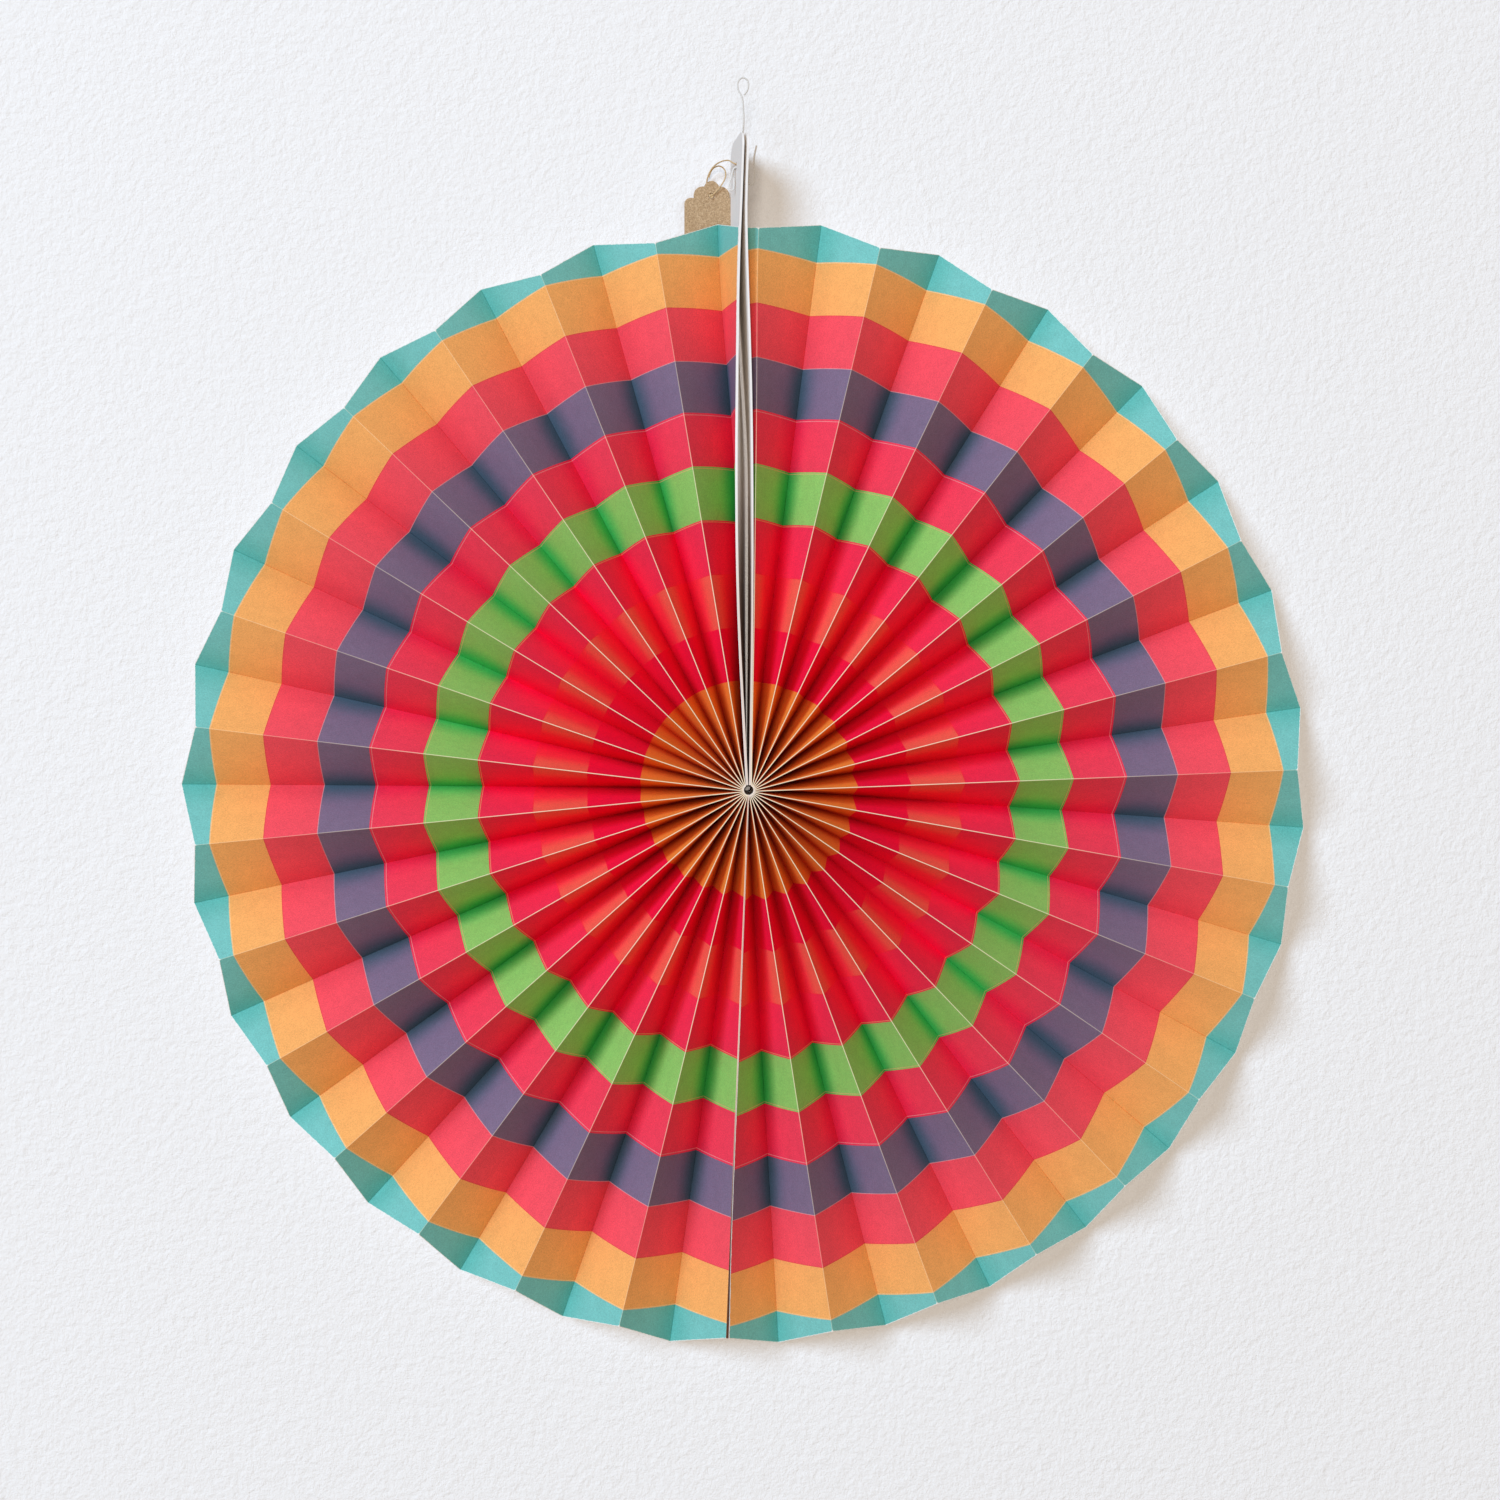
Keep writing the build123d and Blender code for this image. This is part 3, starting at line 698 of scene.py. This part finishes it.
def printed_paper():
    """Ink bands out from the hub, painted shade in the valleys, ridges worn to the paper, paper grain.
    """
    material, tree, shader = new_material("printed_paper", roughness=0.82, specular=0.18)
    across, out = map_parts(tree, "Folds")
    last, rim = map_parts(tree, "Edges")
    from_ridge = multiply(tree, across, PANEL_WIDTH)
    from_valley = subtract(tree, PANEL_WIDTH, from_ridge)
    from_hub = multiply(tree, out, MAP_LENGTH)
    from_last = multiply(tree, last, MAP_LENGTH)
    from_rim = multiply(tree, rim, MAP_LENGTH)
    place = object_coordinates(tree)

    # Ink of each band and the painted shade of its valleys, with borders that wander a little
    wandering = add(tree, out, centred(tree, noise(tree, place, scale=900.0), amount=0.0008))
    open_ink = band_ramp(tree, wandering, [(count, ridge) for count, ridge, valley in BANDS])
    valley_shade_ink = band_ramp(tree, wandering, [(count, valley) for count, ridge, valley in BANDS])
    # Painted shade: the valleys take the darker colour, which reaches further towards the ridges in
    # some places than others
    drift = centred(tree, noise(tree, place, scale=16.0, detail=2.0), amount=10.0)
    depth = subtract(tree, from_ridge, drift)
    ink = mix_colours(tree, step_down(tree, depth, low=20.0, high=38.0), valley_shade_ink, open_ink)

    # Paler patches beside the ridges of one band
    start, end = PATCH_PITCHES
    patch = subtract(tree, up_to_pitch(tree, wandering, end), up_to_pitch(tree, wandering, start))
    patch = multiply(tree, patch, step_down(tree, from_ridge, low=7.0, high=22.0))
    ink = mix_colours(tree, patch, ink, PATCH_INK)

    # A thin line where two of the outer inks meet
    pitches = add(tree, math_node(tree, "DIVIDE", from_hub, BAND_PITCH), 0.5)
    off_meeting = subtract(tree, math_node(tree, "FRACT", pitches), 0.5)
    off_line = multiply(tree, math_node(tree, "ABSOLUTE", off_meeting), BAND_PITCH)
    meeting = multiply(tree, step_down(tree, off_line, low=0.08, high=0.28), 0.60)
    outer = step_up(tree, from_hub, low=118.0, high=119.0)
    line_ink = band_ramp(tree, out, MEETINGS)
    ink = mix_colours(tree, multiply(tree, meeting, outer), ink, line_ink)

    # Grain and cloudy ink
    grain = noise(tree, place, scale=1500.0, detail=4.0, roughness=0.65)
    cloud = noise(tree, place, scale=170.0, detail=4.0, roughness=0.62)
    tone = add(tree, centred(tree, grain, amount=0.85), centred(tree, cloud, amount=0.22))
    tone = add(tree, tone, 1.0)
    grey = tree.nodes.new("ShaderNodeCombineColor")
    for channel in range(3):
        tree.links.new(tone, grey.inputs[channel])
    ink = mix_colours(tree, 1.0, ink, grey.outputs[0], "MULTIPLY")

    # Painted shade: a thin dark line along the valleys, deep in the fold
    valley_line_shade = multiply(tree, step_down(tree, from_valley, low=0.12, high=0.50), 0.40)
    darker = mix_colours(tree, 1.0, ink, ink, "MULTIPLY")
    ink = mix_colours(tree, valley_line_shade, ink, darker)

    # Ridges are worn to the paper, most near the hub
    near = step_down(tree, from_hub, low=60.0, high=240.0)
    width = add(tree, multiply(tree, near, 0.09), 0.10)
    worn = uneven_edge(tree, place, from_ridge, width, scale=700.0, amount=0.16, least=0.02, solid=0.5)
    wear = add(tree, multiply(tree, near, 0.72), 0.24)
    ink = mix_colours(tree, multiply(tree, worn, wear), ink, WORN_RIDGE)
    hub = step_down(tree, from_hub, low=2.6, high=3.4)
    ink = mix_colours(tree, multiply(tree, hub, 0.85), ink, WORN_HUB)

    # Bare paper along the cut rim, at the tips of the ridges and along the torn last edge
    cut = uneven_edge(tree, place, from_rim, 0.34, scale=800.0, amount=0.9, least=0.03, solid=0.5)
    ink = mix_colours(tree, multiply(tree, cut, 0.85), ink, PAPER_WHITE)
    tip = step_down(tree, add(tree, from_ridge, from_rim), low=0.5, high=1.2)
    ink = mix_colours(tree, multiply(tree, tip, 0.8), ink, PAPER_WHITE)
    torn = uneven_edge(tree, place, from_last, 0.32, scale=500.0, amount=2.0, least=0.04, solid=0.7)
    ink = mix_colours(tree, torn, ink, PAPER_WHITE)

    # The glue flap, pale towards the hub and in shade towards the rim
    flap = mix_colours(tree, step_down(tree, from_hub, low=120.0, high=235.0), FLAP_SHADE, FLAP_LIGHT)
    on_flap = step_down(tree, from_last, low=-2.0, high=-1.0)
    ink = mix_colours(tree, on_flap, ink, flap)

    tree.links.new(ink, shader.inputs["Base Color"])
    relief = add(tree, grain, multiply(tree, cloud, 0.5))
    bump(tree, shader, relief, strength=0.30, distance=0.00012)
    return material


def plain_paper():
    """The unprinted back and the cut edges."""
    material, tree, shader = new_material("plain_paper", roughness=0.85, specular=0.18)
    grain = noise(tree, object_coordinates(tree), scale=1400.0, detail=4.0, roughness=0.65)
    tree.links.new(mix_colours(tree, grain, *PLAIN_PAPER), shader.inputs["Base Color"])
    bump(tree, shader, grain, strength=0.22, distance=0.00012)
    return material


def board_card(name, inner_sign):
    """White-lined board: pale outside and on its edges, tan on the side that faces the other board.
    Low down, painted shade makes the front edge tan and the inner side dark."""
    material, tree, shader = new_material(name, roughness=0.85, specular=0.18)
    texture = tree.nodes.new("ShaderNodeTexCoord")
    normal = separate(tree, texture.outputs["Normal"])
    place = texture.outputs["Object"]
    fibre = noise(tree, place, scale=900.0, detail=4.0, roughness=0.7)
    # Painted shade below this height: the inner side darkens and the front edge turns tan
    low = step_down(tree, separate(tree, place)["Z"], low=0.07, high=0.17)

    white = mix_colours(tree, fibre, *BOARD_WHITE)
    front = step_down(tree, normal["Y"], low=-0.9, high=-0.7)
    white = mix_colours(tree, multiply(tree, front, low), white, BOARD_FOOT_SHADE)
    slot_shade = mix_colours(tree, fibre, *BOARD_SLOT_SHADE)
    pale = mix_colours(tree, fibre, *BOARD_PALE)
    tan = mix_colours(tree, low, pale, slot_shade)
    inner = step_up(tree, multiply(tree, normal["X"], inner_sign), low=0.55, high=0.75)
    tree.links.new(mix_colours(tree, inner, white, tan), shader.inputs["Base Color"])
    bump(tree, shader, fibre, strength=0.25, distance=0.00015)
    return material


def kraft_card():
    """Brown card with light and dark fibres."""
    material, tree, shader = new_material("kraft_card", roughness=0.9, specular=0.15)
    place = object_coordinates(tree)
    fibre = noise(tree, place, scale=1100.0, detail=5.0, roughness=0.7)
    body = mix_colours(tree, noise(tree, place, scale=240.0), *KRAFT)
    light = step_up(tree, fibre, low=0.42, high=0.66)
    body = mix_colours(tree, multiply(tree, light, 0.75), body, KRAFT_PALE_FIBRE)
    dark = step_down(tree, noise(tree, place, scale=1500.0, detail=2.0), low=0.36, high=0.47)
    body = mix_colours(tree, multiply(tree, dark, 0.55), body, KRAFT_DARK_FIBRE)
    tree.links.new(body, shader.inputs["Base Color"])
    bump(tree, shader, fibre, strength=0.35, distance=0.00015)
    return material


def twisted_fibre(name, tones, twist):
    """Plied thread: strands as a diagonal wave, with loose fibre noise."""
    material, tree, shader = new_material(name, roughness=0.75, specular=0.3)
    place = object_coordinates(tree)
    wave = tree.nodes.new("ShaderNodeTexWave")
    wave.bands_direction = "DIAGONAL"
    wave.inputs["Scale"].default_value = twist
    wave.inputs["Distortion"].default_value = 1.5
    tree.links.new(place, wave.inputs["Vector"])
    fuzz = noise(tree, place, scale=2500.0)
    strand = add(tree, multiply(tree, wave.outputs["Fac"], 0.7), multiply(tree, fuzz, 0.3))
    tree.links.new(mix_colours(tree, strand, *tones), shader.inputs["Base Color"])
    bump(tree, shader, strand, strength=0.6, distance=0.0002)
    return material


def painted_wall():
    """Pale stippled wall. It is seen from its front only, so that the back of the object can be looked
    at."""
    material, tree, shader = new_material("painted_wall", roughness=0.9, specular=0.1)
    shader.inputs["Base Color"].default_value = (*WALL_COLOUR, 1.0)
    stipple = noise(tree, object_coordinates(tree), scale=240.0, detail=5.0, roughness=0.68)
    bump(tree, shader, stipple, strength=0.55, distance=0.0030)
    clear = tree.nodes.new("ShaderNodeBsdfTransparent")
    behind = tree.nodes.new("ShaderNodeNewGeometry").outputs["Backfacing"]
    surface = mix_shaders(tree, behind, shader.outputs[0], clear.outputs[0])
    tree.links.new(surface, tree.nodes["Material Output"].inputs["Surface"])
    return material


# Pieces

def place_camera():
    camera = add_object("camera", bpy.data.cameras.new("camera"))
    camera.data.lens = CAMERA_LENS
    camera.data.sensor_width = CAMERA_SENSOR
    camera.data.clip_start = CAMERA_CLIP
    camera.location = CAMERA_PLACE
    aim = Vector(CAMERA_AIM) - Vector(CAMERA_PLACE)
    camera.rotation_mode = "QUATERNION"
    camera.rotation_quaternion = aim.to_track_quat("-Z", "Y")
    bpy.context.scene.camera = camera


def soft_cord(name, points, diameter, material):
    """A cord on one smooth curve, guided by the points of its route."""
    curve = bpy.data.curves.new(name, "CURVE")
    curve.dimensions = "3D"
    curve.bevel_depth = diameter * MM / 2
    curve.bevel_resolution = 4
    curve.use_fill_caps = True
    curve.resolution_u = 8
    guide = curve.splines.new("NURBS")
    guide.points.add(len(points) - 1)
    values = np.ones((len(points), 4))
    values[:, :3] = (np.array(points) + np.array([0.0, 0.0, BOARD_HOLE_HEIGHT])) * MM
    guide.points.foreach_set("co", values.ravel())
    guide.order_u = 3
    guide.use_endpoint_u = True
    curve.materials.append(material)
    obj = add_object(name, curve)
    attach(obj, "root")
    return obj


def tied_knot(name, centre, reach, radius, material):
    """A small tied knot: a tube along a trefoil, which runs round twice while it weaves three times."""
    steps = 96
    rings = 10
    trefoil_reach = 3.0
    weave = 1.5
    t = np.linspace(0, 2 * np.pi, steps, endpoint=False)
    x = np.sin(t) + 2 * np.sin(2 * t)
    z = np.cos(t) - 2 * np.cos(2 * t)
    path = np.stack([x, weave * np.sin(3 * t), z], axis=1) / trefoil_reach * reach
    tangent = unit(np.roll(path, -1, axis=0) - np.roll(path, 1, axis=0))
    side = unit(np.cross(tangent, np.array([0.0, 1.0, 0.0])))
    other = np.cross(side, tangent)
    a = np.linspace(0, 2 * np.pi, rings, endpoint=False)[None, :, None]
    tube = path[:, None, :] + radius * (np.cos(a) * side[:, None, :] + np.sin(a) * other[:, None, :])
    tube = (tube + np.array(centre)) * MM
    index = np.arange(steps * rings).reshape(steps, rings)
    ahead = np.roll(index, -1, axis=0)
    faces = np.stack([index, ahead, np.roll(ahead, -1, axis=1), np.roll(index, -1, axis=1)], axis=-1)
    mesh = bpy.data.meshes.new(name)
    mesh.from_pydata(tube.reshape(-1, 3).tolist(), [], faces.reshape(-1, 4).tolist())
    mesh.materials.append(material)
    mesh.shade_smooth()
    obj = add_object(name, mesh)
    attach(obj, "root")
    return obj


def set_material(obj, material):
    obj.data.materials.clear()
    obj.data.materials.append(material)


def stage_wall():
    """Wall behind the rosette, as one large square."""
    around = ((-1, -1), (1, -1), (1, 1), (-1, 1))
    corners = [(x * WALL_HALF_SIZE, WALL_DEPTH, z * WALL_HALF_SIZE) for x, z in around]
    mesh = bpy.data.meshes.new("wall")
    mesh.from_pydata(corners, [], [(0, 1, 2, 3)])
    mesh.materials.append(painted_wall())
    wall = add_object("wall", mesh)
    wall.visible_diffuse = False
    wall.visible_glossy = False
    wall.visible_shadow = False


def add_lamp(name, direction, power, size, colour):
    """A soft round lamp that shines on the origin from one direction."""
    lamp = bpy.data.lights.new(name, "AREA")
    lamp.shape = "DISK"
    lamp.size = size
    lamp.energy = power
    lamp.color = colour
    obj = add_object(name, lamp)
    towards = Vector(direction).normalized()
    obj.location = towards * LAMP_DISTANCE
    obj.rotation_mode = "QUATERNION"
    obj.rotation_quaternion = (-towards).to_track_quat("-Z", "Y")


def light_scene():
    """A soft lamp from the upper left, a weaker one from the front, one for the back of the paper, and
    an even warm sky that the camera sees as a pale backdrop."""
    world = bpy.data.worlds.new("sky")
    world.use_nodes = True
    tree = world.node_tree
    sky = tree.nodes["Background"]
    sky.inputs["Color"].default_value = (*SKY_COLOUR, 1.0)
    sky.inputs["Strength"].default_value = SKY_STRENGTH
    backdrop = tree.nodes.new("ShaderNodeBackground")
    backdrop.inputs["Color"].default_value = (*BACKDROP_COLOUR, 1.0)
    seen = tree.nodes.new("ShaderNodeLightPath").outputs["Is Camera Ray"]
    surface = mix_shaders(tree, seen, sky.outputs[0], backdrop.outputs[0])
    tree.links.new(surface, tree.nodes["World Output"].inputs["Surface"])
    bpy.context.scene.world = world
    add_lamp("window_light", KEY_DIRECTION, KEY_POWER, KEY_SIZE, KEY_COLOUR)
    add_lamp("front_light", FILL_DIRECTION, FILL_POWER, FILL_SIZE, FILL_COLOUR)
    add_lamp("back_light", BACK_DIRECTION, BACK_POWER, BACK_SIZE, BACK_COLOUR)


def main():
    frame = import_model()
    nodes = frame["nodes"]
    bpy.context.scene.view_settings.view_transform = "Standard"
    place_camera()

    # Painted shade between the strands of the white cord, in its darker tone
    white = twisted_fibre("white_cord", WHITE_CORD_WITH_SHADE, twist=900.0)
    cream = twisted_fibre("cream_twine", CREAM_TWINE, twist=1100.0)
    cord = soft_cord("cord_line", CORD_POINTS, CORD_DIAMETER, white)
    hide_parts("hanging_cord")
    knot = tied_knot("tag_knot", KNOT_PLACE, KNOT_REACH, KNOT_STRAND, cream)
    twine = soft_cord("twine_line", TWINE_POINTS, TWINE_DIAMETER, cream)
    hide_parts("tag_twine")

    printed = printed_paper()
    plain = plain_paper()
    right, left = fold_lines()
    for name, node, sheet, print_shift, flap in (
            ("printed_sheet_right", "fan_sheet_right", right, RIGHT_PRINT_SHIFT, NO_FLAP),
            ("printed_sheet_left", "fan_sheet_left", left, LEFT_PRINT_SHIFT, FLAP_WIDTH)):
        obj = pleated_sheet(name, sheet[0], sheet[1], print_shift, flap)
        obj.data.materials.append(printed)
        obj.data.materials.append(plain)
        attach(obj, "root")
        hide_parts(node)

    set_material(nodes["end_board_right"], board_card("board_right", -1))
    set_material(nodes["end_board_left"], board_card("board_left", 1))
    set_material(nodes["swing_tag"], kraft_card())
    # Dark brown thread, its near-black tones partly painted shade of the hub hole
    binding = twisted_fibre("binding_thread", BINDING_WITH_HOLE_SHADE, twist=1200.0)
    set_material(nodes["hub_thread_front"], binding)
    set_material(nodes["hub_thread_back"], binding)

    stage_wall()
    light_scene()


main()
